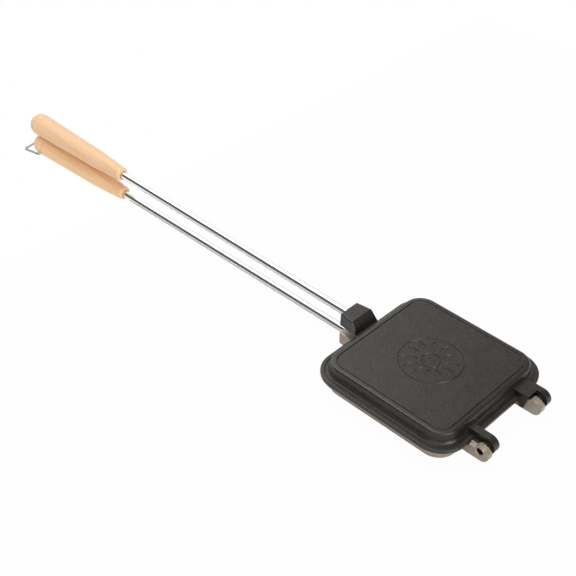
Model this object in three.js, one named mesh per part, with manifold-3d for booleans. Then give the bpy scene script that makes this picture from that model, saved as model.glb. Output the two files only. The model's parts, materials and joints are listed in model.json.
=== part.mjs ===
// Stovetop sandwich press: two hinged square pans, each on a long rod with a turned wooden grip.
// Millimetres, +Z up. +X runs from the grips towards the hinges, and the origin is the middle of
// the lower pan's flat underside. Both pans are built the same way up, from the parting plane to
// the panel, and the lower half is then turned over about X.

import * as THREE from 'three';
import { mergeVertices } from 'three/addons/utils/BufferGeometryUtils.js';
import Module from 'manifold-3d';

const wasm = await Module();
wasm.setup();

// Pan: every rounded square shares one corner centre, so it is an offset of the cavity's outline
const halfDepth = 13.64;
const partingGap = 0.3;
const cavityHalf = 61;
const cavityCornerRadius = 15;
const cavityDraft = 1.8;
const panelThickness = 2.8;
const rimWall = 3.8;
const wallDraft = 2.4;
const wallFlare = 1.1;
const flareHeight = 2.2;
const panelEdgeRound = 0.8;
const flangeHeight = 3.6;
const flangeRound = 0.8;
const upperFlangeWidth = 6.1;
const lowerFlangeWidth = 3.9;
const upperLineInset = 3.45;
const lowerLineInset = 1.75;
const flangeLineWidth = 0.9;
const flangeLineDepth = 0.35;

// Fine groove round each panel
const panelGrooveInset = 4.9;
const panelGrooveWidth = 0.9;
const panelGrooveDepth = 0.5;

// Rosette sunk into the upper panel
const rosetteRadius = 27;
const rosetteHubRadius = 8;
const rosetteLineWidth = 1.3;
const rosetteDepth = 0.45;
const leafCount = 12;
const leafGap = 2.6;
const leafHalfWidth = 2.5;

// Boss that holds the rod
const bossReach = 24.7;
const bossTopLength = 14.7;
const bossSlopeLength = 6.6;
const bossFaceHalf = 10.6;
const bossNeckHalf = 12.6;
const bossFootHalf = 14.4;
const bossDraft = 0.7;
const bossAboveRod = 6.9;
const bossBelowRod = 6;
const bossFootHeight = 6.7;
const bossChamfer = 1.5;
const bossFaceChamfer = 1;

// Rod
const rodRadius = 3.6;
const rodClearance = 0.3;
const rodHeight = 10;
const rodSeatDepth = 14;
const rodInGrip = 112;
const upperRodShown = 302.2;
const lowerRodShown = 301;

// Turned grip, its stations as shares of its length and its radii as shares of the rear bulb's
const gripLength = 147.6;
const gripBulbRadius = 11.6;
const gripFaceRadius = 5;
const gripGap = 0.4;
const gripGrooveShare = 0.887;
const gripBulbShare = 0.919;
const gripOutlineShares = [
  [0.008, 0.47],
  [0.016, 0.56],
  [0.034, 0.6],
  [0.06, 0.615],
  [0.088, 0.655],
  [0.115, 0.684],
  [0.18, 0.722],
  [0.25, 0.787],
  [0.32, 0.816],
  [0.45, 0.851],
  [0.59, 0.891],
  [0.72, 0.935],
  [0.79, 0.948],
  [0.858, 0.972],
  [gripGrooveShare, 0.955],
  [0.902, 0.99],
  [gripBulbShare, 1],
  [0.948, 0.94],
  [0.974, 0.79],
  [0.992, 0.48],
];

// Hinges: each has a knuckle of the lower pan, then an ear of the upper pan, counted along +Y
const earRadius = 7.8;
const earGap = 3.1;
const hingeClearance = 3;
const nearKnuckleStart = -41.8;
const nearKnuckleWidth = 5.4;
const nearEarWidth = 6.7;
const farKnuckleStart = 28.4;
const farKnuckleWidth = 6.6;
const farEarWidth = 6;
const armRoot = 2.4;
const notchClearance = 0.6;
const collarRadius = 4.3;
const collarRise = 2.2;
const collarGap = 0.4;
const knuckleArmDrop = 0.9;
const pinRadius = 2.7;
const pinClearance = 0.3;
const pinRecess = 1.8;
const blindWall = 2;

// Knuckle: a small hub about the pin, a flat stop face beside it and a wider round end below
const hubRadius = 5.1;
const hubEndAngle = THREE.MathUtils.degToRad(45);
const kneeRadius = 7.3;
const kneeReach = 1.1;
const kneeDrop = 1.6;
const kneeStartAngle = THREE.MathUtils.degToRad(20);
const lugLength = 6;
const lugHeight = 1.5;
const lugClearance = 0.5;

// Cheek of the upper pan beside the far knuckle
const cheekThickness = 1.7;
const cheekSideGap = 0.4;
const cheekDepth = 6.9;
const cheekFootEnd = 6.5;
const cheekClearance = 0.4;

// Wire bail on the lower grip, its cross hole rolled about the handle's axis
const wireRadius = 1.3;
const wireClearance = 0.3;
const bailHoleDrop = 2.9;
const bailRoll = THREE.MathUtils.degToRad(8.4);
const bailSideClearance = 0.5;
const bailFlare = 0.6;
const bailTail = 10.6;
const bailBend = 3.2;
const bailEndDepth = 4.5;
const bailDroop = THREE.MathUtils.degToRad(10);

// Fineness of the round faces
const cornerSteps = 7;
const roundSides = 24;
const wireSides = 8;
const wireSteps = 56;
const gripSteps = 26;

// How far a cutter runs past the face that it cuts
const overrun = 1;

// Sizes that follow from the ones above
const cornerCentre = cavityHalf - cavityCornerRadius;
const wallFootHalf = cavityHalf + rimWall;
const wallTopHalf = wallFootHalf - wallDraft;
const upperFlangeHalf = wallFootHalf + upperFlangeWidth;
const lowerFlangeHalf = wallFootHalf + lowerFlangeWidth;
const panelGrooveHalf = wallTopHalf - panelGrooveInset;
const bossFace = wallFootHalf + bossReach;
const pinX = upperFlangeHalf + hingeClearance + earRadius;
const rootX = wallFootHalf - armRoot;
const bulbReach = upperRodShown + gripLength * gripBulbShare;
const splay = Math.asin((gripBulbRadius + gripGap / 2 - rodHeight) / bulbReach);
const nearKnuckleEnd = nearKnuckleStart + nearKnuckleWidth;
const nearEarStart = nearKnuckleEnd + earGap;
const nearEarEnd = nearEarStart + nearEarWidth;
const farKnuckleEnd = farKnuckleStart + farKnuckleWidth;
const farEarStart = farKnuckleEnd + earGap;
const farEarEnd = farEarStart + farEarWidth;
const farBoreStart = farKnuckleStart + blindWall;
const cheekStart = farKnuckleStart - cheekSideGap - cheekThickness;
const bailHoleReach = lowerRodShown + gripLength * gripGrooveShare;

// A closed mesh with shared corners, without the flat triangles that meet a turning axis
function welded(geometry) {
  const bare = geometry.clone();
  bare.deleteAttribute('normal');
  bare.deleteAttribute('uv');
  const merged = mergeVertices(bare);
  const old = merged.getIndex().array;
  const kept = [];
  for (let i = 0; i < old.length; i += 3) {
    const [a, b, c] = [old[i], old[i + 1], old[i + 2]];
    if (a !== b && b !== c && c !== a) kept.push(a, b, c);
  }
  merged.setIndex(kept);
  return merged;
}

function solid(geometry) {
  const mesh = welded(geometry);
  return new wasm.Manifold(new wasm.Mesh({
    numProp: 3,
    vertProperties: new Float32Array(mesh.getAttribute('position').array),
    triVerts: new Uint32Array(mesh.getIndex().array),
  }));
}

function geometryOf(manifold) {
  const mesh = manifold.getMesh();
  const geometry = new THREE.BufferGeometry();
  geometry.setAttribute('position', new THREE.BufferAttribute(new Float32Array(mesh.vertProperties), 3));
  geometry.setIndex(Array.from(mesh.triVerts));
  geometry.computeVertexNormals();
  return geometry;
}

// A closed solid through a row of rings with as many points each, capped flat at both ends
function loft(rings) {
  const count = rings[0].length;
  const points = rings.flat();
  const index = [];
  for (let level = 0; level < rings.length - 1; level++) {
    for (let i = 0; i < count; i++) {
      const a = level * count + i;
      const b = level * count + (i + 1) % count;
      index.push(a, b, b + count, a, b + count, a + count);
    }
  }
  const last = (rings.length - 1) * count;
  for (let i = 1; i < count - 1; i++) {
    index.push(0, i + 1, i);
    index.push(last, last + i, last + i + 1);
  }
  const geometry = new THREE.BufferGeometry().setFromPoints(points);
  geometry.setIndex(index);
  return solid(geometry);
}

// A level rounded square, an offset of the cavity's outline
function squareRing(half, height) {
  const radius = half - cornerCentre;
  const ring = [];
  for (let corner = 0; corner < 4; corner++) {
    const start = corner * Math.PI / 2;
    const centre = new THREE.Vector2(cornerCentre, cornerCentre).rotateAround(new THREE.Vector2(), start);
    for (let step = 0; step <= cornerSteps; step++) {
      const angle = start + step / cornerSteps * Math.PI / 2;
      ring.push(new THREE.Vector3(
        centre.x + radius * Math.cos(angle),
        centre.y + radius * Math.sin(angle),
        height,
      ));
    }
  }
  return ring;
}

// A cylinder along +Y from one place to another
function barAlongY(radius, from, to) {
  const geometry = new THREE.CylinderGeometry(radius, radius, to - from, roundSides);
  geometry.translate(0, (from + to) / 2, 0);
  return geometry;
}

// An outline in X and Z, as thick as the span along Y
function plateAlongY(outline, from, to) {
  const geometry = new THREE.ExtrudeGeometry(outline, {
    depth: to - from,
    bevelEnabled: false,
    curveSegments: roundSides,
  });
  geometry.rotateX(Math.PI / 2);
  geometry.translate(0, to, 0);
  return solid(geometry);
}

function boxOutline(left, bottom, right, top) {
  return new THREE.Shape([
    new THREE.Vector2(left, bottom),
    new THREE.Vector2(right, bottom),
    new THREE.Vector2(right, top),
    new THREE.Vector2(left, top),
  ]);
}

// Shell of a pan: flange with its fine line, flared wall and rounded panel edge, hollow inside
function panShell(flangeHalf, lineInset) {
  const lineOuter = flangeHalf - lineInset;
  const lineInner = lineOuter - flangeLineWidth;
  const lineBottom = flangeHeight - flangeLineDepth;
  return loft([
    squareRing(flangeHalf - flangeRound / 2, partingGap / 2),
    squareRing(flangeHalf, partingGap / 2 + flangeRound),
    squareRing(flangeHalf, flangeHeight - flangeRound),
    squareRing(flangeHalf - flangeRound, flangeHeight),
    squareRing(lineOuter, flangeHeight),
    squareRing(lineOuter, lineBottom),
    squareRing(lineInner, lineBottom),
    squareRing(lineInner, flangeHeight),
    squareRing(wallFootHalf, flangeHeight),
    squareRing(wallFootHalf - wallFlare, flangeHeight + flareHeight),
    squareRing(wallTopHalf, halfDepth - panelEdgeRound),
    squareRing(wallTopHalf - panelEdgeRound, halfDepth),
  ]);
}

function panCavity() {
  const floor = halfDepth - panelThickness;
  return loft([
    squareRing(cavityHalf, 0),
    squareRing(cavityHalf, partingGap / 2),
    squareRing(cavityHalf - cavityDraft, floor),
  ]);
}

function panelGroove() {
  const half = panelGrooveWidth / 2;
  const bottom = halfDepth - panelGrooveDepth;
  const top = halfDepth + overrun;
  const outer = loft([squareRing(panelGrooveHalf + half, bottom), squareRing(panelGrooveHalf + half, top)]);
  const inner = loft([squareRing(panelGrooveHalf - half, bottom), squareRing(panelGrooveHalf - half, top)]);
  return outer.subtract(inner);
}

// One level chamfered section of the boss, square to X
function bossRing(x, halfTop, bottom, top, chamfer) {
  const halfBottom = halfTop + bossDraft;
  const corners = [
    [halfBottom - chamfer, bottom],
    [halfBottom, bottom + chamfer],
    [halfTop, top - chamfer],
    [halfTop - chamfer, top],
  ];
  const right = corners.map(([y, z]) => new THREE.Vector3(x, y, z));
  const left = corners.map(([y, z]) => new THREE.Vector3(x, -y, z)).reverse();
  return [...right, ...left];
}

function boss() {
  const top = rodHeight + bossAboveRod;
  const bottom = rodHeight - bossBelowRod;
  const face = -bossFace;
  const neck = face + bossTopLength;
  const foot = neck + bossSlopeLength;
  const footBottom = flangeHeight - bossChamfer;
  return loft([
    bossRing(face, bossFaceHalf - bossFaceChamfer, bottom + bossFaceChamfer, top - bossFaceChamfer, bossChamfer),
    bossRing(face + bossFaceChamfer, bossFaceHalf, bottom, top, bossChamfer),
    bossRing(neck, bossNeckHalf, bottom, top, bossChamfer),
    bossRing(foot, bossFootHalf, footBottom, bossFootHeight, bossChamfer),
    bossRing(-rootX, bossFootHalf, footBottom, bossFootHeight, bossChamfer),
  ]);
}

// The handle's own frame: it starts on the boss's face, on the rod's axis, and runs along -X
function handlePlace() {
  const place = new THREE.Object3D();
  place.position.set(-bossFace, 0, rodHeight);
  place.rotation.y = splay;
  place.updateMatrix();
  return place;
}

function barAlongHandle(radius, from, to) {
  const geometry = barAlongY(radius, from, to);
  geometry.rotateZ(Math.PI / 2);
  return geometry;
}

function rodBore() {
  const bore = barAlongHandle(rodRadius + rodClearance, -rodSeatDepth - rodClearance, overrun);
  bore.applyMatrix4(handlePlace().matrix);
  return solid(bore);
}

// An arm from the upper pan's wall with a round end about the pin, its flat side up
function earOutline() {
  const outline = new THREE.Shape();
  outline.moveTo(rootX, partingGap / 2);
  outline.lineTo(pinX - earRadius, partingGap / 2);
  outline.lineTo(pinX - earRadius, 0);
  outline.absarc(pinX, 0, earRadius, Math.PI, Math.PI * 2 + Math.PI / 2, false);
  outline.lineTo(rootX, earRadius);
  return outline;
}

// An arm from the lower pan's wall with the knuckle at its end
function knuckleOutline() {
  const hubStartAngle = Math.PI - Math.asin(knuckleArmDrop / hubRadius);
  const outline = new THREE.Shape();
  outline.moveTo(rootX, knuckleArmDrop);
  outline.absarc(pinX, 0, hubRadius, hubStartAngle, Math.PI * 2 - hubEndAngle, false);
  outline.absarc(pinX + kneeReach, kneeDrop, kneeRadius, -kneeStartAngle, Math.PI / 2, false);
  outline.lineTo(rootX, kneeDrop + kneeRadius);
  return outline;
}

// The part of the far arm that runs up to the knuckle and is hollowed round it
function notchedOutline() {
  const reach = earRadius + notchClearance;
  const topAngle = Math.PI - Math.asin(earRadius / reach);
  const lowAngle = Math.PI - Math.asin(partingGap / 2 / reach);
  const outline = new THREE.Shape();
  outline.moveTo(rootX, partingGap / 2);
  outline.lineTo(pinX + reach * Math.cos(lowAngle), partingGap / 2);
  outline.absarc(pinX, 0, reach, lowAngle, topAngle, true);
  outline.lineTo(rootX, earRadius);
  return outline;
}

// A thinner shoulder of the arm between an ear and its knuckle, with a round end about the pin
function collarOutline() {
  const lowAngle = Math.PI - Math.asin(partingGap / 2 / collarRadius);
  const riseAngle = Math.asin(collarRise / collarRadius);
  const outline = new THREE.Shape();
  outline.moveTo(rootX, partingGap / 2);
  outline.absarc(pinX, 0, collarRadius, lowAngle, Math.PI * 3 - riseAngle, false);
  outline.lineTo(rootX, collarRise);
  return outline;
}

// The cheek hangs past the parting plane, and its back is round so that it swings past the flange
function cheekOutline() {
  const reach = earRadius + notchClearance;
  const swing = pinX - lowerFlangeHalf - cheekClearance;
  const topRight = pinX - Math.sqrt(reach * reach - earRadius * earRadius);
  const outline = new THREE.Shape();
  outline.moveTo(topRight, earRadius);
  outline.lineTo(pinX - swing, earRadius);
  outline.absarc(pinX, 0, swing, Math.PI, Math.PI + Math.asin(cheekDepth / swing), false);
  outline.lineTo(pinX - cheekFootEnd, -cheekDepth);
  return outline;
}

function upperArms() {
  const nearEar = plateAlongY(earOutline(), nearEarStart, nearEarEnd);
  const farEar = plateAlongY(earOutline(), farEarStart, farEarEnd);
  const notched = plateAlongY(notchedOutline(), cheekStart, farEarEnd - overrun);
  const cheek = plateAlongY(cheekOutline(), cheekStart, cheekStart + cheekThickness);
  const nearCollar = plateAlongY(collarOutline(), nearKnuckleEnd + collarGap, nearEarEnd - overrun);
  const farCollar = plateAlongY(collarOutline(), farKnuckleEnd + collarGap, farEarEnd - overrun);
  return nearEar.add(farEar).add(notched).add(cheek).add(nearCollar).add(farCollar);
}

// The lower pan is turned over afterwards, so its spans along Y change sign here
function lowerArms() {
  const near = plateAlongY(knuckleOutline(), -nearKnuckleEnd, -nearKnuckleStart);
  const far = plateAlongY(knuckleOutline(), -farKnuckleEnd, -farKnuckleStart);
  const lugLeft = upperFlangeHalf + lugClearance;
  const lugOutline = boxOutline(lugLeft, -lugHeight, lugLeft + lugLength, knuckleArmDrop + overrun);
  const lug = plateAlongY(lugOutline, -nearKnuckleEnd, -nearKnuckleStart);
  return near.add(far).add(lug);
}

// The near bore runs right through, and the far one stays closed at its knuckle's outer side
function pinBores(sign) {
  const radius = pinRadius + pinClearance;
  const spans = [
    [nearKnuckleStart - overrun, nearEarEnd + overrun],
    [farBoreStart, farEarEnd + overrun],
  ];
  const [near, far] = spans.map(([from, to]) => {
    const bore = barAlongY(radius, Math.min(sign * from, sign * to), Math.max(sign * from, sign * to));
    bore.translate(pinX, 0, 0);
    return solid(bore);
  });
  return near.add(far);
}

// A plain rosette of two rings and a circle of leaves
function ringCut(radius) {
  const half = rosetteLineWidth / 2;
  const bottom = halfDepth - rosetteDepth;
  const top = halfDepth + overrun;
  const profile = [
    new THREE.Vector2(radius - half, bottom),
    new THREE.Vector2(radius + half, bottom),
    new THREE.Vector2(radius + half, top),
    new THREE.Vector2(radius - half, top),
    new THREE.Vector2(radius - half, bottom),
  ];
  const ring = new THREE.LatheGeometry(profile, roundSides * 2);
  ring.rotateX(Math.PI / 2);
  return solid(ring);
}

function leafCut(turn) {
  const from = rosetteHubRadius + leafGap;
  const to = rosetteRadius - leafGap;
  const middle = (from + to) / 2;
  const outline = new THREE.Shape();
  outline.moveTo(from, 0);
  outline.quadraticCurveTo(middle, -leafHalfWidth * 2, to, 0);
  outline.quadraticCurveTo(middle, leafHalfWidth * 2, from, 0);
  const leaf = new THREE.ExtrudeGeometry(outline, {
    depth: rosetteDepth + overrun,
    bevelEnabled: false,
    curveSegments: cornerSteps,
  });
  leaf.translate(0, 0, halfDepth - rosetteDepth);
  leaf.rotateZ(turn);
  return solid(leaf);
}

function rosette() {
  let cut = ringCut(rosetteRadius).add(ringCut(rosetteHubRadius));
  for (let i = 0; i < leafCount; i++) {
    cut = cut.add(leafCut(i / leafCount * Math.PI * 2));
  }
  return cut;
}

function upperPan() {
  return geometryOf(panShell(upperFlangeHalf, upperLineInset)
    .add(boss())
    .add(upperArms())
    .subtract(panCavity())
    .subtract(panelGroove())
    .subtract(rosette())
    .subtract(rodBore())
    .subtract(pinBores(1)));
}

function lowerPan() {
  return geometryOf(panShell(lowerFlangeHalf, lowerLineInset)
    .add(boss())
    .add(lowerArms())
    .subtract(panCavity())
    .subtract(panelGroove())
    .subtract(rodBore())
    .subtract(pinBores(-1)));
}

function rod(shown) {
  return barAlongHandle(rodRadius, -rodSeatDepth, shown + rodInGrip);
}

// The grip's turned outline, drilled from its front for the rod
function gripProfile() {
  const boreRadius = rodRadius + rodClearance;
  const stations = gripOutlineShares.map(([station, radius]) => new THREE.Vector2(
    radius * gripBulbRadius,
    station * gripLength,
  ));
  const flank = new THREE.SplineCurve(stations).getPoints(gripSteps);
  return [
    new THREE.Vector2(0, rodInGrip + rodClearance),
    new THREE.Vector2(boreRadius, rodInGrip + rodClearance),
    new THREE.Vector2(boreRadius, 0),
    new THREE.Vector2(gripFaceRadius, 0),
    ...flank,
    new THREE.Vector2(0, gripLength),
  ];
}

function grip(shown) {
  const geometry = new THREE.LatheGeometry(gripProfile(), roundSides);
  geometry.translate(0, shown, 0);
  geometry.rotateZ(Math.PI / 2);
  return geometry;
}

function lowerGrip() {
  const hole = barAlongY(wireRadius + wireClearance, -gripBulbRadius - overrun, gripBulbRadius + overrun);
  hole.translate(-bailHoleReach, 0, bailHoleDrop);
  hole.rotateX(bailRoll);
  return geometryOf(solid(grip(lowerRodShown)).subtract(solid(hole)));
}

// The bail lies flat behind the grip, its two ends turned into the hole
function bail() {
  const innerHeight = bailHoleDrop - wireRadius;
  const bulbSide = Math.sqrt(gripBulbRadius * gripBulbRadius - innerHeight * innerHeight);
  const side = bulbSide + bailSideClearance + wireRadius;
  const back = gripLength * (1 - gripGrooveShare) + bailTail;
  const corners = [
    [0, bailEndDepth],
    [0, side],
    [-back, side + bailFlare],
    [-back, -side - bailFlare],
    [0, -side],
    [0, -bailEndDepth],
  ].map(([x, y]) => new THREE.Vector3(x, y, 0));
  const path = new THREE.CurvePath();
  let start = corners[0];
  for (let i = 1; i < corners.length - 1; i++) {
    const corner = corners[i];
    const into = corner.clone().add(corners[i - 1].clone().sub(corner).setLength(bailBend));
    const out = corner.clone().add(corners[i + 1].clone().sub(corner).setLength(bailBend));
    path.add(new THREE.LineCurve3(start, into));
    path.add(new THREE.QuadraticBezierCurve3(into, corner, out));
    start = out;
  }
  path.add(new THREE.LineCurve3(start, corners[corners.length - 1]));
  const section = new THREE.Shape();
  for (let i = 0; i < wireSides; i++) {
    const angle = i / wireSides * Math.PI * 2;
    const point = new THREE.Vector2(wireRadius * Math.cos(angle), wireRadius * Math.sin(angle));
    if (i === 0) section.moveTo(point.x, point.y);
    else section.lineTo(point.x, point.y);
  }
  return new THREE.ExtrudeGeometry(section, { steps: wireSteps, extrudePath: path });
}

function finish(color, roughness, metalness) {
  return new THREE.MeshStandardMaterial({ color, roughness, metalness });
}

const blackCoating = finish(0x4a4744, 0.55, 0.2);
const bareCasting = finish(0x9f9891, 0.5, 0.7);
const platedSteel = finish(0xe0e0dd, 0.15, 1);
const paleWood = finish(0xe9bf92, 0.6, 0);
const pinSteel = finish(0x777470, 0.35, 1);

function named(name, geometry, material) {
  const mesh = new THREE.Mesh(welded(geometry), material);
  mesh.name = name;
  return mesh;
}

const press = new THREE.Group();

const upperHalf = new THREE.Group();
upperHalf.position.z = halfDepth;
upperHalf.add(named('upper_pan', upperPan(), blackCoating));
const upperHandle = new THREE.Group().copy(handlePlace());
upperHandle.add(named('upper_rod', rod(upperRodShown), platedSteel));
upperHandle.add(named('upper_grip', grip(upperRodShown), paleWood));
upperHalf.add(upperHandle);
press.add(upperHalf);

const lowerHalf = new THREE.Group();
lowerHalf.position.z = halfDepth;
lowerHalf.rotation.x = Math.PI;
lowerHalf.add(named('lower_pan', lowerPan(), bareCasting));
const lowerHandle = new THREE.Group().copy(handlePlace());
lowerHandle.add(named('lower_rod', rod(lowerRodShown), platedSteel));
lowerHandle.add(named('lower_grip', lowerGrip(), paleWood));
const bailMesh = named('hanging_bail', bail(), platedSteel);
bailMesh.position.set(-bailHoleReach, 0, bailHoleDrop);
bailMesh.rotation.y = bailDroop;
const bailGroup = new THREE.Group();
bailGroup.rotation.x = bailRoll;
bailGroup.add(bailMesh);
lowerHandle.add(bailGroup);
lowerHalf.add(lowerHandle);
press.add(lowerHalf);

const pins = {
  near_hinge_pin: [nearKnuckleStart + pinRecess, nearEarEnd - pinRecess],
  far_hinge_pin: [farBoreStart + pinClearance, farEarEnd - pinRecess],
};
for (const [name, [from, to]] of Object.entries(pins)) {
  const pin = named(name, barAlongY(pinRadius, from, to), pinSteel);
  pin.position.set(pinX, 0, halfDepth);
  press.add(pin);
}

export default press;
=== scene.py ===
import json
import math

import bmesh
import bpy
import numpy as np
from mathutils import Matrix, Vector


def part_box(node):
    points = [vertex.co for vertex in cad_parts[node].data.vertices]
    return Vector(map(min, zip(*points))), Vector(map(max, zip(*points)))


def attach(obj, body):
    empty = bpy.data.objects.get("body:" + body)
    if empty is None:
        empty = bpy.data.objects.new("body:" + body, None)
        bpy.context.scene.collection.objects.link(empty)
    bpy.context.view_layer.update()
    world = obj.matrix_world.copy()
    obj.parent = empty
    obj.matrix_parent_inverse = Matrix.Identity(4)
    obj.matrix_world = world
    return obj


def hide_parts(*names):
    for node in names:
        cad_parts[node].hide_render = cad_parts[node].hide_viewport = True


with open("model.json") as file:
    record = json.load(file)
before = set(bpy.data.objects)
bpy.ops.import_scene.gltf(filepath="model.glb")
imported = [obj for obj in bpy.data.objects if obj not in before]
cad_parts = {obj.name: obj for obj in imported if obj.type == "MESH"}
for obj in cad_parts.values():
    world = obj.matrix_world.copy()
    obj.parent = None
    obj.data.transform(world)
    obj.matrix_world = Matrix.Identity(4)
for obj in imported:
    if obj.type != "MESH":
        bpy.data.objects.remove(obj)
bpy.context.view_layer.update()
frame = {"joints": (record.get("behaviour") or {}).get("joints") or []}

# Lengths are in millimetres, and each finished mesh is scaled to metres
MM = 0.001
joints = {joint["name"]: joint for joint in frame["joints"]}


def box_mm(node):
    """The lowest and the highest corner of a CAD node in millimetres."""
    low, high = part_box(node)
    return low / MM, high / MM


# Places that the frame gives
PIN_X, _, HALF_DEPTH = (value / MM for value in joints["pan_hinge"]["pos_m"])
UPPER_LOW, UPPER_HIGH = box_mm("upper_pan")
_, LOWER_HIGH = box_mm("lower_pan")
UPPER_FLANGE_HALF = UPPER_HIGH.y
LOWER_FLANGE_HALF = LOWER_HIGH.y
BOSS_FACE = -UPPER_LOW.x
EAR_RADIUS = UPPER_HIGH.x - PIN_X

# Pan, built from the parting plane up to its panel
CORNER_CENTRE = 46.0
PARTING_GAP = 0.3
CAVITY_HALF = 61.0
CAVITY_DRAFT = 1.8
CAVITY_FLOOR_ROUND = 2.6
PANEL_THICKNESS = 2.8
RIM_ROUND = 0.5
WALL_FOOT_HALF = 64.8
WALL_DRAFT = 2.4
WALL_FLARE = 1.1
FLARE_HEIGHT = 2.2
FLARE_ROUND = 1.2
PANEL_EDGE_ROUND = 1.9
UNDERSIDE_EDGE_ROUND = 0.7
PANEL_CROWN = 0.16
FLANGE_HEIGHT = 3.6
FLANGE_ROUND = 0.9
FLANGE_LINE_HALF = 67.0
FLANGE_LINE_WIDTH = 0.9
FLANGE_LINE_DEPTH = 0.6
LOWER_LINE_INSET = 2.2
GROOVE_HALF = 57.5
GROOVE_WIDTH = 0.9
GROOVE_DEPTH = 0.75
LIP_ROUND = 0.26

# Rosette sunk into the upper panel
ROSETTE_RADIUS = 27.0
ROSETTE_HUB = 8.0
ROSETTE_LINE = 1.3
ROSETTE_DEPTH = 0.45
LEAF_COUNT = 12
LEAF_GAP = 2.6
LEAF_HALF = 2.5
CUT_FLANK = 0.35

# Boss that holds the rod
BOSS_TOP = 14.7
BOSS_SLOPE = 6.6
BOSS_FACE_HALF = 10.6
BOSS_NECK_HALF = 12.6
BOSS_FOOT_HALF = 14.4
BOSS_DRAFT = 0.7
BOSS_ABOVE_ROD = 6.9
BOSS_BELOW_ROD = 6.0
BOSS_FOOT_HEIGHT = 6.7
BOSS_EDGE_ROUND = 1.3
BOSS_FACE_ROUND = 0.9
BOSS_SIDE_NECK_ROUND = 4.0
BOSS_SIDE_FOOT_ROUND = 2.0
BOSS_BELLY_ROUND = 1.0
BOSS_TOP_NECK_ROUND = 1.2
BOSS_TOP_FOOT_ROUND = 1.5

# Handles
ROD_RADIUS = 3.6
ROD_CLEARANCE = 0.3
ROD_HEIGHT = 10.0
ROD_SEAT = 14.0
ROD_IN_GRIP = 112.0
UPPER_ROD_SHOWN = 302.2
LOWER_ROD_SHOWN = 301.0
ROD_CHAMFER = 0.5
GRIP_LENGTH = 147.6
GRIP_RADIUS = 11.6
GRIP_FACE_RADIUS = 5.0
GRIP_GAP = 0.4
GRIP_GROOVE_SHARE = 0.887
GRIP_BULB_SHARE = 0.919
GRIP_OUTLINE_SHARES = [
    (0.008, 0.47),
    (0.016, 0.56),
    (0.034, 0.6),
    (0.06, 0.615),
    (0.088, 0.655),
    (0.115, 0.684),
    (0.18, 0.722),
    (0.25, 0.787),
    (0.32, 0.816),
    (0.45, 0.851),
    (0.59, 0.891),
    (0.72, 0.935),
    (0.79, 0.948),
    (0.858, 0.972),
    (GRIP_GROOVE_SHARE, 0.94),
    (0.902, 0.99),
    (GRIP_BULB_SHARE, 1.0),
    (0.948, 0.94),
    (0.974, 0.79),
    (0.992, 0.48),
]

# Hinges
EAR_GAP = 3.1
NEAR_KNUCKLE_START = -41.8
NEAR_KNUCKLE_WIDTH = 5.4
NEAR_EAR_WIDTH = 6.7
FAR_KNUCKLE_START = 28.4
FAR_KNUCKLE_WIDTH = 6.6
FAR_EAR_WIDTH = 6.0
ARM_ROOT = 2.4
NOTCH_CLEARANCE = 0.6
COLLAR_RADIUS = 4.3
COLLAR_RISE = 2.2
COLLAR_GAP = 0.15
WEB_DEPTH = 2.4
KNUCKLE_ARM_DROP = 0.9
HUB_RADIUS = 5.1
HUB_RIDGE = 0.25
HUB_RIDGE_ROUND = 0.15
HUB_VALLEY = 0.9
HUB_RIDGE_COUNT = 3
HUB_BACK_TURN = math.radians(253)
HUB_END_TURN = math.radians(316)
HUB_BLEND_TURN = 0.1
KNEE_RADIUS = 7.3
KNEE_REACH = 1.1
KNEE_DROP = 1.6
KNEE_START_TURN = math.radians(-20)
LUG_LENGTH = 6.0
LUG_HEIGHT = 1.5
LUG_CLEARANCE = 0.5
CHEEK_THICKNESS = 1.95
CHEEK_SIDE_GAP = 0.15
CHEEK_DEPTH = 6.9
CHEEK_FOOT_END = 6.5
CHEEK_CLEARANCE = 0.4
ARM_BEVEL = 0.5
EAR_BEVEL = 1.0
PIN_RADIUS = 2.7
PIN_CLEARANCE = 0.3
PIN_RECESS = 1.8
PIN_TIP_RADIUS = 1.2
PIN_TIP_LENGTH = 1.1
PIN_TIP_ROUND = 0.3
PIN_SHOULDER_ROUND = 0.4
PIN_END_LENGTH = 2.0
BLIND_WALL = 2.0
BORE_LIP = 0.35
BORE_RIM_RADIUS = 3.55
BORE_RIM_ROUND = 0.42

# Wire bail
WIRE_RADIUS = 1.3
WIRE_CLEARANCE = 0.3
BAIL_HOLE_DROP = 2.9
BAIL_ROLL = math.radians(8.4)
BAIL_SIDE_CLEARANCE = 0.5
BAIL_FLARE = 0.6
BAIL_TAIL = 10.6
BAIL_BEND = 3.2
BAIL_END_DEPTH = 4.5
BAIL_DROOP = math.radians(10)

# Fineness
CORNER_STEPS = 20
FILLET_STEPS = 4
ROUND_SIDES = 72
RIM_SIDES = 16
WIRE_SIDES = 20
GRIP_STEPS = 10
LEAF_STEPS = 12
BEND_STEPS = 8
BEVEL_SEGMENTS = 3

# How far a cut or a joined piece runs past its face, and how far a lathe's end stays off its axis
OVERRUN = 1.0
AXIS_RADIUS = 0.01

# Limits for what is straight, how long an arc may be, and which edges are bevelled or kept sharp
STRAIGHT_TURN = 1e-3
ARC_SHARE = 0.49
BEVEL_TURN = math.radians(40)
SHARP_TURN = math.radians(32)
NORMAL_WEIGHT = 90

# Points of a finished mesh closer than this are one, in metres
MERGE_DISTANCE = 1e-6

# Room past the hollow's floor and past a bore's wall within which a face counts as part of it
FLOOR_MARGIN = 0.1
BORE_MARGIN = 0.25

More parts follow.
